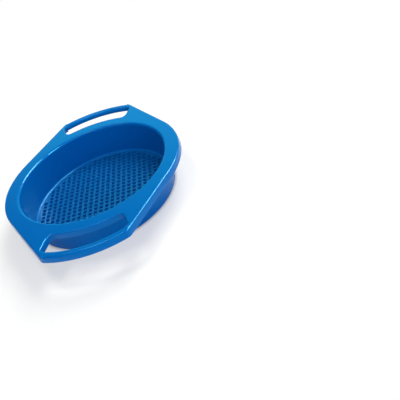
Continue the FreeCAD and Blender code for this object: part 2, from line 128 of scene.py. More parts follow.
# The room's bright side and the blue screen: the way to each, and the cosine of a ray's
# angle to it where each begins and where it is full
WHITE = (1, 1, 1, 1)
ROOM_DIM = (0.05, 0.05, 0.05, 1)
ROOM_BRIGHT = (1.1, 1.17, 1.45, 1)
BRIGHT_SIDE = ((0.406, -0.876, -0.259), -0.5, 0.75)
SCREEN_COLOUR = (0.12, 1.3, 1.45, 1)
SCREEN_SIDE = ((0.205, 0.963, -0.174), 0.515, 0.754)

# The studio floor: half its width and its depth under the foot ring, and where it turns
# plain white, counted in half-lengths of the sieve
GROUND_REACH, GROUND_DEPTH = 4.0, 0.00005
GROUND_ROUGHNESS = 0.9
WHITE_FROM, WHITE_TO = 2, 5


def length(name, default, description):
    return FloatProperty(name=name, description=description, default=default,
                         min=0, unit="LENGTH", precision=5)


def angle(name, degrees, description):
    return FloatProperty(name=name, description=description,
                         default=math.radians(degrees), unit="ROTATION")


def colour(name, default, description):
    return FloatVectorProperty(name=name, description=description, default=default,
                               size=3, min=0, max=1, subtype="COLOR")


class SieveSizes(PropertyGroup):
    """Sizes of the sieve, in metres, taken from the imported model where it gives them."""
    mouth_radius: length("Mouth radius", BOWL_HIGH.x, "Where the bowl's lip meets the rim")
    rim_radius: length("Rim radius", FLANGE_HIGH.x, "The rim's side arcs, from the centre")
    rim_top: length("Rim height", FLANGE_HIGH.z, "Top of the rim above the ground")
    rim_under: length("Rim underside", FLANGE_LOW.z, "Underside of the flat rim")
    edge_radius: length("Rim edge", 0.0019, "Rounding along the rim's outer edge")
    skirt_foot: length("Skirt foot", SKIRT_LOW.z, "Lowest edge of the turned-down skirt")
    skirt_thickness: length("Skirt thickness", 0.002, "Wall of the turned-down skirt")
    skirt_draft: angle("Skirt draft", 7.5, "How far the skirt leans out")
    soft_edge: length("Soft edge", 0.0005, "Rounding of the lower moulded edges")
    ear_radius: length("Ear radius", 0.1143, "The arc across each ear")
    ear_width: length("Ear width", 0.0969, "Across an ear's rounded corners")
    ear_corner: length("Ear corner", 0.0095, "Rounded corner of an ear, in plan")
    grip_end: length("Grip end", GRIP_HIGH.x, "Half the length of a grip bar")
    grip_width: length("Grip width", 0.0088, "Grip bar from slot to outer edge")
    grip_foot: length("Grip inner depth", 0.0058, "How far the bar's slot side reaches down")
    grip_edge: length("Grip rounding", 0.0034, "Rounded top edges of a grip bar")
    grip_blend: length("Grip blend", 0.0012, "Run in which the bar's rounding begins")
    slot_band: length("Slot band", 0.0132, "Flat rim between the mouth and a slot")
    slot_inner_corner: length("Slot inner corner", 0.0065, "Slot corner near the bowl")
    slot_outer_corner: length("Slot outer corner", 0.0025, "Slot corner near the bar")
    slot_end_angle: angle("Slot splay", 18, "How far a slot's ends splay out")
    slot_edge: length("Slot edge", 0.0015, "Rounding along a slot's top edge")
    collar_thickness: length("Collar thickness", 0.002, "Wall turned down round a slot")
    lip_radius: length("Lip radius", 0.003, "Rounding from the rim into the bowl")
    wall_thickness: length("Wall thickness", 0.0022, "Wall of the bowl")
    wall_draft: angle("Wall draft", 3.2, "How far the bowl's wall leans out")
    floor_fillet: length("Floor fillet", 0.002, "Rounding from the wall into the floor")
    floor_radius: length("Floor radius", FLOOR_HIGH.x, "Edge of the perforated floor")
    floor_top: length("Floor top", FLOOR_HIGH.z, "Top of the perforated floor")
    floor_under: length("Floor underside", FLOOR_LOW.z, "Underside of the floor")
    foot_width: length("Foot width", 0.004, "The ring that the sieve stands on")
    base_edge: length("Base edge", 0.0024, "Rounding at the foot of the wall")
    mesh_pitch: length("Mesh pitch", 0.0067, "From hole to hole in the floor")
    hole_size: length("Hole size", 0.0044, "Side of a square hole")
    hole_draft: angle("Hole draft", 14, "How much a hole narrows downward")
    hole_corner: length("Hole corner", 0.0007, "Rounded corner of a hole")
    hole_edge: length("Hole edge", 0.0003, "Softened top edge of a hole")
    mesh_border: length("Mesh border", 0.0008, "Plain border round the holes")
    turns: IntProperty(name="Steps round the bowl", default=300, min=48,
                       description="Facets round the bowl's wall")


class SieveColours(PropertyGroup):
    """Colours and finish of the moulded plastic and of the stage."""
    plastic: colour("Plastic", (0.0, 0.127, 0.43), "Colour of the moulded plastic")
    plastic_shade: colour("Plastic shade", (0.0, 0.115, 0.40), "Its slightly deeper patches")
    # Painted shade: the perforated floor's plastic is darkened by this factor, as the floor deep in
    # the bowl gets less light
    floor_painted_shade: FloatProperty(name="Floor depth of colour", default=0.78, min=0, max=1, subtype="FACTOR",
                        description="How much darker the thin ribs of the floor look")
    shine: colour("Shine", (0.1, 0.75, 1.0), "Tint of the reflections seen straight on")
    gloss: FloatProperty(name="Roughness", default=0.11, min=0, max=1, subtype="FACTOR",
                         description="Roughness of the glossy plastic")
    wear: FloatProperty(name="Wear", default=0.2, min=0, max=1, subtype="FACTOR",
                        description="How much rougher the sand has made the floor")
    wear_height: length("Wear height", 0.003, "How far above the floor the wear fades out")
    peel: length("Orange peel", 0.0016, "Size of the faint waves in the moulded skin")
    ground: colour("Ground", (0.93, 0.92, 0.89), "Colour of the floor under the sieve")
    # Painted shade: a dark blue laid on the ground under the bowl, also seen through the floor's
    # holes
    shade: colour("Shade", (0.004, 0.1, 0.34), "Colour of the ground that the bowl covers")
    whiteness: FloatProperty(name="Floor whiteness", default=0.5, min=0, max=1,
                             subtype="FACTOR", description="How white the floor looks")


def sizes():
    return bpy.context.scene.sieve_sizes


def colours():
    return bpy.context.scene.sieve_colours


def arc(centre, radius, first, last, count):
    """Points along an arc in even steps, with one fine step more at each end so that
    the surface meets its neighbour at the right slope."""
    fine = math.copysign(min(FINE_STEP, abs(last - first) / (3 * count)), last - first)
    steps = [first + (last - first) * i / count for i in range(1, count)]
    return [centre + Vector((math.cos(a), math.sin(a))) * radius
            for a in [first, first + fine] + steps + [last - fine, last]]


def rounded(corners, count=SOFT_EDGE_STEPS):
    """Points of an outline given as (x, y, radius) corners, each rounded by an arc."""
    points = []
    before, after = corners[-1:] + corners[:-1], corners[1:] + corners[:1]
    for last, corner, following in zip(before, corners, after):
        here, radius = Vector(corner[:2]), corner[2]
        if radius == 0:
            points.append(here)
            continue
        back = (Vector(last[:2]) - here).normalized()
        ahead = (Vector(following[:2]) - here).normalized()
        half = back.angle(ahead) / 2
        centre = here + (back + ahead).normalized() * radius / math.sin(half)
        start = here + back * radius / math.tan(half) - centre
        end = here + ahead * radius / math.tan(half) - centre
        first = math.atan2(start.y, start.x)
        turn = (math.atan2(end.y, end.x) - first + math.pi) % (2 * math.pi) - math.pi
        points += arc(centre, radius, first, first + turn, count)
    return points


def mirrored(points, sign_x=1, sign_y=1):
    return [Vector((p.x * sign_x, p.y * sign_y)) for p in points]


def ear_centre(s):
    return Vector((0, GRIP_HIGH.y - skirt_flare(s, s.skirt_foot) - s.ear_radius))


def on_ear(s, x, radius):
    """The point at x on a circle about the ear's centre."""
    return Vector((x, ear_centre(s).y + math.sqrt(radius ** 2 - x ** 2)))


def skirt_flare(s, height):
    """How far outside the rim's line the leaning skirt stands at a height."""
    return (s.rim_under - height) * math.tan(s.skirt_draft)


def ear_turn(s):
    """Centre of an ear's rounded corner."""
    return on_ear(s, s.ear_width / 2 - s.ear_corner, s.ear_radius - s.ear_corner)


def rim_side(s, grow):
    """The rim's line on the right, or one outside it, from front grip to back grip."""
    turn = ear_turn(s)
    flank = math.atan2(turn.y, turn.x) - math.acos((s.rim_radius - s.ear_corner) / turn.length)
    stop = math.acos((s.grip_end - turn.x) / (s.ear_corner + grow))
    quarter = (arc(ORIGIN, s.rim_radius + grow, 0, flank, RIM_SIDE_STEPS)
               + arc(turn, s.ear_corner + grow, flank, stop, EAR_CORNER_STEPS))
    return mirrored(quarter, 1, -1)[:0:-1] + quarter


def slot_side(s, grow):
    """The back slot's line, or one outside it, from grip end to grip end by the bowl."""
    inner, bar = s.mouth_radius + s.slot_band, s.ear_radius - s.grip_width
    near, far = s.slot_inner_corner, s.slot_outer_corner
    far_centre = on_ear(s, s.grip_end, bar - far)
    centre = ear_centre(s)
    bar_angle = math.atan2(far_centre.y - centre.y, far_centre.x)
    splay = s.slot_end_angle
    reach = far_centre.dot(Vector((math.cos(splay), -math.sin(splay)))) + far
    bowl_angle = math.acos((reach - near) / (inner + near)) - splay
    near_centre = Vector((math.cos(bowl_angle), math.sin(bowl_angle))) * (inner + near)
    bar_end = math.acos(s.grip_end / (bar + grow))
    half = (arc(ORIGIN, inner - grow, math.pi / 2, bowl_angle, SLOT_INNER_STEPS)
            + arc(near_centre, near + grow, bowl_angle - math.pi, -splay,
                  SLOT_INNER_CORNER_STEPS)
            + arc(far_centre, far + grow, -splay, bar_angle, SLOT_OUTER_CORNER_STEPS)
            + arc(centre, bar + grow, bar_angle, bar_end, SLOT_BAR_STEPS))
    return half[::-1] + mirrored(half, -1)[1:]


def new_piece(name, build):
    """An object at the origin whose mesh a function fills."""
    mesh = bpy.data.meshes.new(name)
    bm = bmesh.new()
    build(bm)
    bm.to_mesh(mesh)
    bm.free()
    piece = bpy.data.objects.new(name, mesh)
    bpy.context.collection.objects.link(piece)
    return piece


def add_rows(bm, rows, round_again=False):
    """Faces between rows of points; round_again joins the last row to the first."""
    grid = [[bm.verts.new(p) for p in row] for row in rows]
    after = grid[1:] + grid[:1] if round_again else grid[1:]
    for row, following in zip(grid, after):
        for a, b, c, d in zip(row, row[1:], following[1:], following):
            bm.faces.new((a, b, c, d))
    return grid


def sweep(bm, section, line, round_again=False, sign_x=1, sign_y=1):
    """Carries a section of (outward, height) points along a line in plan."""
    return add_rows(bm, [[(p.x, p.y, height) for p in mirrored(line(outward), sign_x, sign_y)]
                         for outward, height in section], round_again)


def close_ends(bm):
    """Merges the doubled points and fills the flat holes that are left."""
    bmesh.ops.remove_doubles(bm, verts=bm.verts, dist=MERGE)
    bmesh.ops.holes_fill(bm, edges=[e for e in bm.edges if e.is_boundary], sides=0)


def finish_piece(piece, material, *nodes):
    """Closes, smooths and checks a piece, and lets it stand for its CAD nodes."""
    bm = bmesh.new()
    bm.from_mesh(piece.data)
    bmesh.ops.remove_doubles(bm, verts=bm.verts, dist=MERGE)
    bmesh.ops.recalc_face_normals(bm, faces=bm.faces)
    open_edges = [e for e in bm.edges if not e.is_manifold]
    if open_edges:
        places = [tuple(round(c * 1000, 2) for c in e.verts[0].co) for e in open_edges[:4]]
        raise RuntimeError(f"{piece.name} has {len(open_edges)} open edges, at {places}")
    for face in bm.faces:
        face.smooth = True
    for edge in bm.edges:
        edge.smooth = edge.calc_face_angle() < SHARP_ANGLE
    bm.to_mesh(piece.data)
    bm.free()
    piece.data.materials.clear()
    piece.data.materials.append(material)
    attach(piece, BODY)
    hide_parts(*nodes)


def add_input(tree, name, kind, default=None):
    socket = tree.interface.new_socket(name=name, in_out="INPUT", socket_type=kind)
    if default is not None:
        socket.default_value = default


def bake_nodes(piece, tree, values):
    """Runs a Geometry Nodes tree on a piece with named values and keeps the plain mesh."""
    modifier = piece.modifiers.new(tree.name, "NODES")
    modifier.node_group = tree
    for socket in tree.interface.items_tree:
        if socket.item_type == "SOCKET" and socket.name in values:
            modifier[socket.identifier] = values[socket.name]
    depsgraph = bpy.context.evaluated_depsgraph_get()
    mesh = bpy.data.meshes.new_from_object(piece.evaluated_get(depsgraph))
    piece.modifiers.clear()
    piece.data = mesh


class NodeMaker:
    """Adds nodes to a tree and links them, so that a tree reads from top to bottom."""

    def __init__(self, tree):
        self.tree = tree

    def add(self, kind, inputs=None, **settings):
        """A node; inputs maps its socket names or numbers to values or sockets."""
        node = self.tree.nodes.new(kind)
        for name, value in settings.items():
            setattr(node, name, value)
        for key, value in (inputs or {}).items():
            socket = self.socket(node.inputs, key)
            if isinstance(value, bpy.types.NodeSocket):
                self.tree.links.new(value, socket)
            else:
                socket.default_value = value
        return node

    @staticmethod
    def socket(sockets, key):
        """A socket by number, or the one of that name that the node's settings use."""
        return sockets[key] if isinstance(key, int) else next(
            each for each in sockets if each.enabled and each.name == key)

    def mix(self, factor, a, b):
        """Mixes two colours by a factor."""
        node = self.add("ShaderNodeMix", {"Factor": factor, "A": a, "B": b}, data_type="RGBA")
        return self.socket(node.outputs, "Result")

    def maths(self, operation, *values):
        return self.add("ShaderNodeMath", dict(enumerate(values)), operation=operation).outputs[0]

    def join(self, *geometries):
        node = self.add("GeometryNodeJoinGeometry")
        for geometry in geometries:
            self.tree.links.new(geometry, node.inputs[0])
        return node.outputs[0]


def geometry_tree(name):
    tree = bpy.data.node_groups.new(name, "GeometryNodeTree")
    add_input(tree, "Geometry", "NodeSocketGeometry")
    tree.interface.new_socket(name="Geometry", in_out="OUTPUT", socket_type="NodeSocketGeometry")
    return tree


def end_tree(make, geometry, material):
    """Ends a tree with real geometry in its material."""
    real = make.add("GeometryNodeRealizeInstances", {0: geometry}).outputs[0]
    painted = make.add("GeometryNodeSetMaterial", {"Geometry": real, "Material": material})
    make.add("NodeGroupOutput", {0: painted.outputs[0]})


def lathe_tree():
    """Turns the object's closed section round the upright axis."""
    tree = geometry_tree("turned_wall")
    add_input(tree, "Path Radius", "NodeSocketFloat", 0.09)
    add_input(tree, "Steps", "NodeSocketInt", 300)
    add_input(tree, "Material", "NodeSocketMaterial")
    make = NodeMaker(tree)
    given = make.add("NodeGroupInput").outputs
    section = make.add("GeometryNodeMeshToCurve", {"Mesh": given["Geometry"]})
    circle = make.add("GeometryNodeCurvePrimitiveCircle",
                      {"Resolution": given["Steps"], "Radius": given["Path Radius"]})
    wall = make.add("GeometryNodeCurveToMesh",
                    {"Curve": circle.outputs[0], "Profile Curve": section.outputs[0]})
    end_tree(make, wall.outputs[0], given["Material"])
    return tree


def mesh_floor_tree():
    """A disc with a square grid of holes, each with softened top edges."""
    tree = geometry_tree("perforated_floor")
    for name, default in (("Radius", 0.083), ("Top", 0.002), ("Underside", 0.0),
                          ("Pitch", 0.0067), ("Hole Size", 0.0044), ("Hole Corner", 0.0007),
                          ("Hole Draft", 0.24), ("Soft Edge", 0.0003), ("Border", 0.0008)):
        add_input(tree, name, "NodeSocketFloat", default)
    add_input(tree, "Rows", "NodeSocketInt", 26)
    add_input(tree, "Steps", "NodeSocketInt", 300)
    add_input(tree, "Material", "NodeSocketMaterial")
    make = NodeMaker(tree)
    given = make.add("NodeGroupInput").outputs

    # The grid of hole centres, less those whose farthest corner reaches the border
    span = make.maths("MULTIPLY", make.maths("SUBTRACT", given["Rows"], 1), given["Pitch"])
    grid = make.add("GeometryNodeMeshGrid", {"Size X": span, "Size Y": span,
                                             "Vertices X": given["Rows"],
                                             "Vertices Y": given["Rows"]})
    place = make.add("GeometryNodeInputPosition").outputs[0]
    place_parts = make.add("ShaderNodeSeparateXYZ", {0: place}).outputs
    half_hole = make.maths("MULTIPLY", given["Hole Size"], 0.5)
    corner_x, corner_y = [make.maths("ADD", make.maths("ABSOLUTE", part), half_hole)
                          for part in (place_parts[0], place_parts[1])]
    far = make.add("ShaderNodeVectorMath",
                   {0: make.add("ShaderNodeCombineXYZ", {0: corner_x, 1: corner_y}).outputs[0]},
                   operation="LENGTH").outputs["Value"]
    reach = make.maths("SUBTRACT", given["Radius"], given["Border"])
    outside = make.maths("GREATER_THAN", far, reach)
    centres = make.add("GeometryNodeDeleteGeometry",
                       {"Geometry": grid.outputs[0], "Selection": outside})

    # One hole's wall: a section with a soft top edge, carried round a rounded square
    square = make.add("GeometryNodeCurvePrimitiveQuadrilateral",
                      {"Width": given["Hole Size"], "Height": given["Hole Size"]})
    square = make.add("GeometryNodeFilletCurve",
                      {"Curve": square.outputs[0], "Count": HOLE_CORNER_STEPS,
                       "Radius": given["Hole Corner"]}, mode="POLY")
    # A swept section's second axis points down, so heights are negative there
    top, under = [make.maths("MULTIPLY", given[name], -1) for name in ("Top", "Underside")]
    soft_line = make.maths("ADD", top, given["Soft Edge"])
    edge = make.add("GeometryNodeCurveArc",
                    {"Resolution": HOLE_EDGE_POINTS, "Radius": given["Soft Edge"],
                     "Start Angle": math.pi, "Sweep Angle": math.pi / 2}, mode="RADIUS")
    edge_place = make.add("ShaderNodeCombineXYZ", {0: given["Soft Edge"], 1: soft_line})
    edge = make.add("GeometryNodeTransform",
                    {"Geometry": edge.outputs[0], "Translation": edge_place.outputs[0]})
    narrowing = make.maths("MULTIPLY", make.maths("SUBTRACT", soft_line, under),
                           make.maths("TANGENT", given["Hole Draft"]))
    foot = make.add("ShaderNodeCombineXYZ", {0: narrowing, 1: under})
    side = make.add("GeometryNodeCurvePrimitiveLine",
                    {"Start": make.add("ShaderNodeCombineXYZ", {1: soft_line}).outputs[0],
                     "End": foot.outputs[0]})
    section = make.join(edge.outputs[0], side.outputs[0])
    wall = make.add("GeometryNodeCurveToMesh",
                    {"Curve": square.outputs[0], "Profile Curve": section})
    walls = make.add("GeometryNodeInstanceOnPoints",
                     {"Points": centres.outputs[0], "Instance": wall.outputs[0]})
    walls = make.add("GeometryNodeRealizeInstances", {0: walls.outputs[0]})
    walls = make.add("GeometryNodeMergeByDistance", {"Geometry": walls.outputs[0],
                                                     "Distance": MERGE}).outputs[0]

    # The two flat faces, filled between the rim and the ends of the hole walls
    height = make.add("ShaderNodeSeparateXYZ",
                      {0: make.add("GeometryNodeInputPosition").outputs[0]}).outputs[2]
    faces_met = make.add("GeometryNodeInputMeshEdgeNeighbors").outputs[0]
    is_end = make.maths("COMPARE", faces_met, 1, 0.5)
    circle = make.add("GeometryNodeCurvePrimitiveCircle",
                      {"Resolution": given["Steps"], "Radius": given["Radius"]}).outputs[0]
    middle = make.maths("MULTIPLY", make.maths("ADD", given["Top"], given["Underside"]), 0.5)
    flats = []
    for level, tool in ((given["Top"], "GREATER_THAN"), (given["Underside"], "LESS_THAN")):
        picked = make.maths("MULTIPLY", is_end, make.maths(tool, height, middle))
        loops = make.add("GeometryNodeMeshToCurve", {"Mesh": walls, "Selection": picked})
        flat = make.add("GeometryNodeFillCurve", {"Curve": make.join(circle, loops.outputs[0])})
        lift = make.add("ShaderNodeCombineXYZ", {2: level}).outputs[0]
        flats.append(make.add("GeometryNodeTransform",
                              {"Geometry": flat.outputs[0], "Translation": lift}).outputs[0])
    rim_line = make.add("GeometryNodeCurvePrimitiveLine",
                        {"Start": make.add("ShaderNodeCombineXYZ", {1: top}).outputs[0],
                         "End": make.add("ShaderNodeCombineXYZ", {1: under}).outputs[0]})
    rim = make.add("GeometryNodeCurveToMesh",
                   {"Curve": circle, "Profile Curve": rim_line.outputs[0]})
    whole = make.add("GeometryNodeMergeByDistance",
                     {"Geometry": make.join(*flats, walls, rim.outputs[0]), "Distance": MERGE})
    end_tree(make, whole.outputs[0], given["Material"])
    return tree


def moulding_group():
    """Shader group for moulded plastic: faint patches, uneven gloss, orange peel, and wear
    that makes it rougher from one height down to another."""
    tree = bpy.data.node_groups.new("moulded_skin", "ShaderNodeTree")
    for name, kind, default in (("Colour", "NodeSocketColor", (0, 0.1, 0.5, 1)),
                                ("Shade", "NodeSocketColor", (0, 0.1, 0.4, 1)),
                                ("Roughness", "NodeSocketFloat", 0.2),
                                ("Unevenness", "NodeSocketFloat", 0.03),
                                ("Peel Scale", "NodeSocketFloat", 600.0),
                                ("Wear", "NodeSocketFloat", 0.2),
                                ("Wear Begins", "NodeSocketFloat", 0.005),
                                ("Wear Full", "NodeSocketFloat", 0.002)):
        add_input(tree, name, kind, default)
    for name, kind in (("Colour", "NodeSocketColor"), ("Roughness", "NodeSocketFloat"),
                       ("Height", "NodeSocketFloat")):
        tree.interface.new_socket(name=name, in_out="OUTPUT", socket_type=kind)
    make = NodeMaker(tree)
    given = make.add("NodeGroupInput").outputs
    place = make.add("ShaderNodeTexCoord").outputs["Object"]
    patches = make.add("ShaderNodeTexNoise", {"Vector": place, **PATCHES})
    tint = make.mix(patches.outputs["Fac"], given["Colour"], given["Shade"])
    flow = make.add("ShaderNodeTexNoise", {"Vector": place, **FLOW})
    swing = make.maths("MULTIPLY", make.maths("SUBTRACT", flow.outputs["Fac"], 0.5),
                       given["Unevenness"])
    gloss = make.maths("ADD", given["Roughness"], swing)
    height = make.add("ShaderNodeSeparateXYZ", {0: place}).outputs["Z"]
    worn = make.add("ShaderNodeMapRange",
                    {"Value": height, "From Min": given["Wear Begins"],
                     "From Max": given["Wear Full"], "To Max": given["Wear"]}).outputs[0]
    peel = make.add("ShaderNodeTexNoise",
                    {"Vector": place, "Scale": given["Peel Scale"], **PEEL})
    make.add("NodeGroupOutput", {"Colour": tint, "Roughness": make.maths("ADD", gloss, worn),
                                 "Height": peel.outputs["Fac"]})
    return tree


def plastic_material(name, unevenness, peel_depth, depth=1.0):
    """Glossy moulded plastic in the sieve's colour, or a darker one where depth is less, the
    darkening being painted shade.
    """
    found = bpy.data.materials.get(name)
    if found:
        return found
    c = colours()
    material = bpy.data.materials.new(name)
    material.use_nodes = True
    make = NodeMaker(material.node_tree)
    shader = material.node_tree.nodes["Principled BSDF"]
    group = bpy.data.node_groups.get("moulded_skin") or moulding_group()
    skin = make.add("ShaderNodeGroup", node_tree=group)
    for name_in, value in (("Colour", (*(depth * part for part in c.plastic), 1)),
                           ("Shade", (*(depth * part for part in c.plastic_shade), 1)),
                           ("Roughness", c.gloss), ("Unevenness", unevenness),
                           ("Peel Scale", 1 / c.peel), ("Wear", c.wear),
                           ("Wear Begins", sizes().floor_top + c.wear_height),
                           ("Wear Full", sizes().floor_top)):
        skin.inputs[name_in].default_value = value
    bump = make.add("ShaderNodeBump", {"Height": skin.outputs["Height"],
                                       "Strength": BUMP_STRENGTH, "Distance": peel_depth})
    for name_in, source in (("Base Color", skin.outputs["Colour"]),
                            ("Roughness", skin.outputs["Roughness"]),
                            ("Normal", bump.outputs["Normal"])):
        material.node_tree.links.new(source, shader.inputs[name_in])
    shader.inputs["Specular IOR Level"].default_value = PLASTIC_SPECULAR
    shader.inputs["Specular Tint"].default_value = (*c.shine, 1)
    shader.inputs["IOR"].default_value = PLASTIC_IOR
    return material


def shell_plastic():
    return plastic_material("glossy_blue_plastic", unevenness=0.05, peel_depth=0.00002)


# The perforated floor's plastic, darkened to paint the shade deep in the bowl
def floor_plastic():
    return plastic_material("sieve_floor_plastic", unevenness=0.08, peel_depth=0.00003,
                            depth=colours().floor_painted_shade)


class SIEVE_OT_bowl(Operator):
    """Build the bowl's wall with its lip, floor fillet and foot ring"""
    bl_idname = "sieve.bowl"
    bl_label = "Bowl wall"

    def execute(self, context):
        s = sizes()
        lean = s.wall_draft

        def inside(height, more=0):
            """Radius of the leaning inner face at a height, or of one beyond it."""
            run = s.lip_radius + (s.rim_top - s.lip_radius - height) * math.sin(lean)
            return s.mouth_radius - (run - more) / math.cos(lean)

        def outside(height):
            return inside(height, s.wall_thickness)

        foot = outside(s.base_edge) - s.base_edge / math.cos(lean) + s.base_edge - s.foot_width
        section = rounded([
            (s.mouth_radius, s.rim_top, 0),
            (inside(s.rim_top), s.rim_top, s.lip_radius),
            (inside(s.floor_top), s.floor_top, s.floor_fillet),
            (s.floor_radius, s.floor_top, 0),
            (s.floor_radius, s.floor_under, 0),
            (foot, s.floor_under, 0),
            (foot, 0, s.soft_edge / 2),
            (outside(0), 0, s.base_edge),
            (outside(s.rim_under), s.rim_under, 0),
            (s.mouth_radius, s.rim_under, 0),
        ], BOWL_STEPS)

        def build(bm):
            # A swept section's second axis points down
            verts = [bm.verts.new((p.x - s.mouth_radius, -p.y, 0)) for p in section]
            for a, b in zip(verts, verts[1:] + verts[:1]):
                bm.edges.new((a, b))
            bmesh.ops.remove_doubles(bm, verts=bm.verts, dist=MERGE)

        material = shell_plastic()
        piece = new_piece("bowl_with_lip", build)
        bake_nodes(piece, lathe_tree(), {"Path Radius": s.mouth_radius, "Steps": s.turns,
                                         "Material": material})
        finish_piece(piece, material, "bowl_wall")
        return {"FINISHED"}


class SIEVE_OT_mesh_floor(Operator):
    """Build the perforated floor that lets the sand through"""
    bl_idname = "sieve.mesh_floor"
    bl_label = "Perforated floor"

    def execute(self, context):
        s = sizes()
        material = floor_plastic()
        rows = 2 * math.ceil((s.floor_radius - s.mesh_border) / s.mesh_pitch)
        piece = new_piece("perforated_floor", lambda bm: None)
        bake_nodes(piece, mesh_floor_tree(), {
            "Radius": s.floor_radius, "Top": s.floor_top, "Underside": s.floor_under,
            "Pitch": s.mesh_pitch, "Hole Size": s.hole_size, "Hole Corner": s.hole_corner,
            "Hole Draft": s.hole_draft, "Soft Edge": s.hole_edge, "Border": s.mesh_border,
            "Rows": rows, "Steps": s.turns, "Material": material})
        finish_piece(piece, material, "mesh_floor")
        return {"FINISHED"}


class SIEVE_OT_rim(Operator):
    """Build the flat rim with its rounded edges, its ears and its finger slots"""
    bl_idname = "sieve.rim"
    bl_label = "Rim"

    def execute(self, context):
        s = sizes()
        under = [(0, s.rim_under)]
        lean, radius = s.skirt_draft, s.edge_radius
        # The outer rounding touches the top and the leaning face of the skirt below
        height = s.rim_top - radius
        centre = Vector((-(radius + (height - s.rim_under) * math.sin(lean)) / math.cos(lean),
                         height))
        outer = under + [(p.x, p.y) for p in arc(centre, radius, lean, math.pi / 2,
                                                 TOP_EDGE_STEPS)]
        centre = Vector((s.slot_edge, s.rim_top - s.slot_edge))
        inner = under + [(p.x, p.y) for p in arc(centre, s.slot_edge, math.pi, math.pi / 2,
                                                 TOP_EDGE_STEPS)]

        def build(bm):
            ends = []
            for sign in (1, -1):
                side = sweep(bm, outer, lambda grow: rim_side(s, grow), sign_x=sign)
                slot = sweep(bm, inner, lambda grow: slot_side(s, grow), sign_y=sign)
                ends.append((side, slot))
            turns = [2 * math.pi * i / s.turns for i in range(s.turns + 1)]
            add_rows(bm, [[(s.mouth_radius * math.cos(a), s.mouth_radius * math.sin(a), z)
                           for a in turns] for z in (s.rim_under, s.rim_top)])
            # Edges across the ends of the grip bars close the outline of each flat face
            (right, back), (left, front) = ends
            for level in (0, -1):
                for a, b in ((right[level][-1], back[level][0]), (left[level][-1], back[level][-1]),
                             (right[level][0], front[level][0]),
                             (left[level][0], front[level][-1])):
                    bm.edges.new((a, b))
            bmesh.ops.remove_doubles(bm, verts=bm.verts, dist=MERGE)
            for z in (s.rim_top, s.rim_under):
                flat = [e for e in bm.edges if len(e.link_faces) < 2
                        and all(abs(v.co.z - z) < LEVEL for v in e.verts)]
                bmesh.ops.triangle_fill(bm, edges=flat, use_beauty=True, normal=(0, 0, 1))
            close_ends(bm)

        finish_piece(new_piece("flat_rim", build), shell_plastic(), "rim_flange")
        return {"FINISHED"}


class SIEVE_OT_skirts(Operator):
    """Build the skirts that turn down from the rim on both sides"""
    bl_idname = "sieve.skirts"
    bl_label = "Rim skirts"

    def execute(self, context):
        s = sizes()
        flare, wall = skirt_flare(s, s.skirt_foot), s.skirt_thickness
        section = [(p.x, p.y) for p in rounded([
            (0, s.rim_under, 0), (flare, s.skirt_foot, s.soft_edge),
            (flare - wall, s.skirt_foot, s.soft_edge), (-wall, s.rim_under, 0)])]
        for name, node, sign in (("right_rim_skirt", "right_skirt", 1),
                                 ("left_rim_skirt", "left_skirt", -1)):
            def build(bm):
                sweep(bm, section, lambda grow: rim_side(s, grow), True, sign_x=sign)
                close_ends(bm)
            finish_piece(new_piece(name, build), shell_plastic(), node)
        return {"FINISHED"}


class SIEVE_OT_collars(Operator):
    """Build the walls turned down round the two finger slots"""
    bl_idname = "sieve.collars"
    bl_label = "Slot collars"

    def execute(self, context):
        s = sizes()
        section = [(p.x, p.y) for p in rounded([
            (0, s.rim_under, 0), (0, s.skirt_foot, s.soft_edge),
            (s.collar_thickness, s.skirt_foot, s.soft_edge),
            (s.collar_thickness, s.rim_under, 0)])]
        for name, node, sign in (("back_slot_wall", "back_slot_collar", 1),
                                 ("front_slot_wall", "front_slot_collar", -1)):
            def build(bm):
                sweep(bm, section, lambda grow: slot_side(s, grow), True, sign_y=sign)
                close_ends(bm)
            finish_piece(new_piece(name, build), shell_plastic(), node)
        return {"FINISHED"}


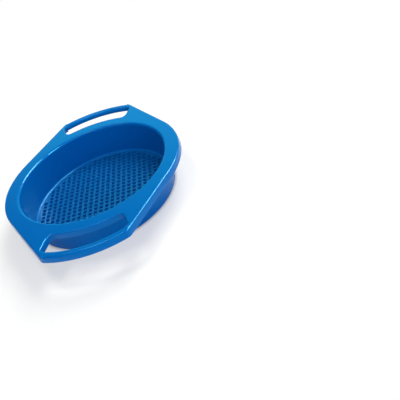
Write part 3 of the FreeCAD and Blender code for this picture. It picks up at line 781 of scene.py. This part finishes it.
class SIEVE_OT_grips(Operator):
    """Build the two rounded grip bars outside the finger slots"""
    bl_idname = "sieve.grips"
    bl_label = "Grip bars"

    def execute(self, context):
        s = sizes()
        bar, middle = s.ear_radius - s.grip_width, s.ear_radius - s.grip_width / 2
        turn, centre = ear_turn(s), ear_centre(s)
        tangent_share = turn.x / (s.ear_radius - s.ear_corner)

        def along(x, radius):
            """Where a point of the bar's section lies at x: on the rim's line outside,
            on the slot's line inside."""
            if radius > middle and abs(x) > radius * tangent_share:
                corner = s.ear_corner + radius - s.ear_radius
                return turn.y + math.sqrt(corner ** 2 - (abs(x) - turn.x) ** 2)
            return centre.y + math.sqrt(radius ** 2 - x ** 2)

        def section(x):
            inward = min(1, (s.grip_end - abs(x)) / s.grip_blend)
            blend = inward * inward * (3 - 2 * inward)
            outer = s.edge_radius + (s.grip_edge - s.edge_radius) * blend
            inner = s.slot_edge + (s.grip_edge - s.slot_edge) * blend
            foot = s.ear_radius + skirt_flare(s, s.skirt_foot)
            shoulder = s.ear_radius + skirt_flare(s, s.rim_top)
            ceiling = foot - s.skirt_thickness - (s.rim_under - s.skirt_foot) * math.tan(
                s.skirt_draft)
            low, wall = s.rim_top - s.grip_foot, bar + s.collar_thickness
            return rounded([
                (foot, s.skirt_foot, s.soft_edge), (shoulder, s.rim_top, outer),
                (bar, s.rim_top, inner), (bar, low, s.soft_edge), (wall, low, s.soft_edge),
                (wall, s.rim_under, 0), (ceiling, s.rim_under, 0),
                (foot - s.skirt_thickness, s.skirt_foot, s.soft_edge)], TOP_EDGE_STEPS)

        ramp = [s.grip_end - s.grip_blend * share for share in GRIP_BLEND_SHARES]
        middle_run = [ramp[-1] * (1 - 2 * i / GRIP_STEPS) for i in range(1, GRIP_STEPS)]
        stations = ramp + middle_run + [-x for x in reversed(ramp)]
        for name, node, sign in (("back_grip_bar", "back_grip", 1),
                                 ("front_grip_bar", "front_grip", -1)):
            def build(bm):
                rows = [[(x, sign * along(x, p.x), p.y) for p in section(x)] for x in stations]
                add_rows(bm, [row + row[:1] for row in rows])
                close_ends(bm)
            finish_piece(new_piece(name, build), shell_plastic(), node)
        return {"FINISHED"}


class SIEVE_OT_stage(Operator):
    """Build the pale floor, the camera and the soft studio light"""
    bl_idname = "sieve.stage"
    bl_label = "Stage"

    def execute(self, context):
        scene = context.scene
        scene.view_settings.view_transform = "Standard"
        self.ground()
        self.world(scene)
        for light in LIGHTS:
            self.lamp(*light)
        camera = bpy.data.objects.new("photo_camera", bpy.data.cameras.new("photo_camera"))
        camera.data.lens, camera.data.sensor_width = CAMERA_LENS, CAMERA_SENSOR
        context.collection.objects.link(camera)
        turn = (CAMERA_TARGET - CAMERA_PLACE).to_track_quat("-Z", "Y").to_matrix().to_4x4()
        camera.matrix_world = (Matrix.Translation(CAMERA_PLACE) @ turn
                               @ Matrix.Rotation(CAMERA_ROLL, 4, "Z"))
        scene.camera = camera
        return {"FINISHED"}

    def ground(self):
        """A wide pale floor just under the foot ring."""
        def build(bm):
            bm.faces.new([bm.verts.new((x * GROUND_REACH, y * GROUND_REACH, -GROUND_DEPTH))
                          for x, y in ((-1, -1), (1, -1), (1, 1), (-1, 1))])
        ground = new_piece("studio_floor", build)
        material = bpy.data.materials.new("pale_floor")
        material.use_nodes = True
        nodes, links = material.node_tree.nodes, material.node_tree.links
        make = NodeMaker(material.node_tree)
        shader = nodes["Principled BSDF"]
        shader.inputs["Roughness"].default_value = GROUND_ROUGHNESS
        shader.inputs["Specular IOR Level"].default_value = 0
        # The ground is painted dark blue where the bowl covers it, a painted shade, and is white
        # where it is open
        far = make.add("ShaderNodeVectorMath",
                       {0: make.add("ShaderNodeTexCoord").outputs["Object"]},
                       operation="LENGTH").outputs["Value"]

        def beyond(first, last):
            return make.add("ShaderNodeMapRange", {"Value": far, "From Min": first,
                                                   "From Max": last}).outputs[0]

        open_ground = beyond(sizes().floor_radius, sizes().mouth_radius)
        links.new(make.mix(open_ground, (*colours().shade, 1), (*colours().ground, 1)),
                  shader.inputs["Base Color"])
        # The camera sees the open ground as partly plain white, and wholly so beyond the
        # shadow; reflections see it so from the rim outward, since the ground under the rim
        # lies in its shade
        rays = make.add("ShaderNodeLightPath").outputs
        mirrored_ground = make.maths(
            "MULTIPLY", beyond(sizes().rim_radius, HALF_LENGTH),
            make.maths("ADD", rays["Is Glossy Ray"], rays["Is Transmission Ray"]))
        looks = make.maths("ADD", mirrored_ground,
                           make.maths("MULTIPLY", open_ground, rays["Is Camera Ray"]))
        beyond_shadow = beyond(WHITE_FROM * HALF_LENGTH, WHITE_TO * HALF_LENGTH)
        whiteness = make.maths("MAXIMUM", beyond_shadow, colours().whiteness)
        share = make.maths("MULTIPLY", looks, whiteness)
        white = make.add("ShaderNodeEmission", {"Color": WHITE, "Strength": 1})
        mixed = make.add("ShaderNodeMixShader", {0: share, 1: shader.outputs[0],
                                                 2: white.outputs[0]})
        # A view from below looks through the floor at the sieve's underside
        seen_through = make.add("ShaderNodeMixShader", {
            0: make.add("ShaderNodeNewGeometry").outputs["Backfacing"], 1: mixed.outputs[0],
            2: make.add("ShaderNodeBsdfTransparent").outputs[0]})
        links.new(seen_through.outputs[0], nodes["Material Output"].inputs["Surface"])
        ground.data.materials.append(material)
        return ground

    def world(self, scene):
        """A room that is bright and a little blue at its front right, dim at its back left,
        with a blue screen low behind the sieve that reflections alone see. The camera sees
        plain white."""
        world = bpy.data.worlds.new("pale_room")
        world.use_nodes = True
        make = NodeMaker(world.node_tree)
        background = world.node_tree.nodes["Background"]
        place = make.add("ShaderNodeTexCoord").outputs["Generated"]
        rays = make.add("ShaderNodeLightPath").outputs

        def toward(direction, first, last):
            """How nearly a ray points in a direction, eased from 0 at first to 1 at last."""
            facing = make.add("ShaderNodeVectorMath", {0: place, 1: direction},
                              operation="DOT_PRODUCT").outputs["Value"]
            return make.add("ShaderNodeMapRange", {"Value": facing, "From Min": first,
                                                   "From Max": last},
                            interpolation_type="SMOOTHSTEP").outputs[0]

        room = make.mix(toward(*BRIGHT_SIDE), ROOM_DIM, ROOM_BRIGHT)
        mirrored_screen = make.maths("MULTIPLY", toward(*SCREEN_SIDE), rays["Is Glossy Ray"])
        screened = make.add("ShaderNodeMix", {"Factor": mirrored_screen, "A": room,
                                              "B": SCREEN_COLOUR},
                            data_type="RGBA", blend_type="ADD")
        seen = make.mix(rays["Is Camera Ray"], make.socket(screened.outputs, "Result"), WHITE)
        world.node_tree.links.new(seen, background.inputs["Color"])
        scene.world = world

    def lamp(self, name, azimuth, elevation, distance, width, power, card):
        """A square light that faces the sieve. A card shows in reflections alone and lights
        nothing; the others shine a little warmer than the room."""
        data = bpy.data.lights.new(name, "AREA")
        data.size, data.energy = width, power
        lamp = bpy.data.objects.new(name, data)
        turn, rise = math.radians(azimuth), math.radians(elevation)
        place = distance * Vector((math.sin(turn) * math.cos(rise),
                                   math.cos(turn) * math.cos(rise), math.sin(rise)))
        lamp.matrix_world = (Matrix.Translation(place)
                             @ (-place).to_track_quat("-Z", "Y").to_matrix().to_4x4())
        if card:
            lamp.visible_diffuse = False
        else:
            data.color = SOFTBOX_COLOUR
        bpy.context.collection.objects.link(lamp)


BUILD_ORDER = (SIEVE_OT_stage, SIEVE_OT_bowl, SIEVE_OT_mesh_floor, SIEVE_OT_rim,
               SIEVE_OT_skirts, SIEVE_OT_collars, SIEVE_OT_grips)


class SIEVE_PT_panel(Panel):
    """Lists the sieve's pieces, sizes and colours"""
    bl_idname = "SIEVE_PT_panel"
    bl_label = "Sand Sieve"
    bl_space_type = "VIEW_3D"
    bl_region_type = "UI"
    bl_category = "Sieve"

    def draw(self, context):
        for operator in BUILD_ORDER:
            self.layout.operator(operator.bl_idname)
        for group in (context.scene.sieve_sizes, context.scene.sieve_colours):
            for name in group.bl_rna.properties.keys():
                if name not in ("rna_type", "name"):
                    self.layout.prop(group, name)


CLASSES = (SieveSizes, SieveColours, *BUILD_ORDER, SIEVE_PT_panel)


def register():
    for each in CLASSES:
        bpy.utils.register_class(each)
    bpy.types.Scene.sieve_sizes = PointerProperty(type=SieveSizes)
    bpy.types.Scene.sieve_colours = PointerProperty(type=SieveColours)


def unregister():
    del bpy.types.Scene.sieve_colours
    del bpy.types.Scene.sieve_sizes
    for each in reversed(CLASSES):
        bpy.utils.unregister_class(each)


def main():
    register()
    for operator in BUILD_ORDER:
        group, name = operator.bl_idname.split(".")
        getattr(getattr(bpy.ops, group), name)()


if __name__ == "__main__":
    main()
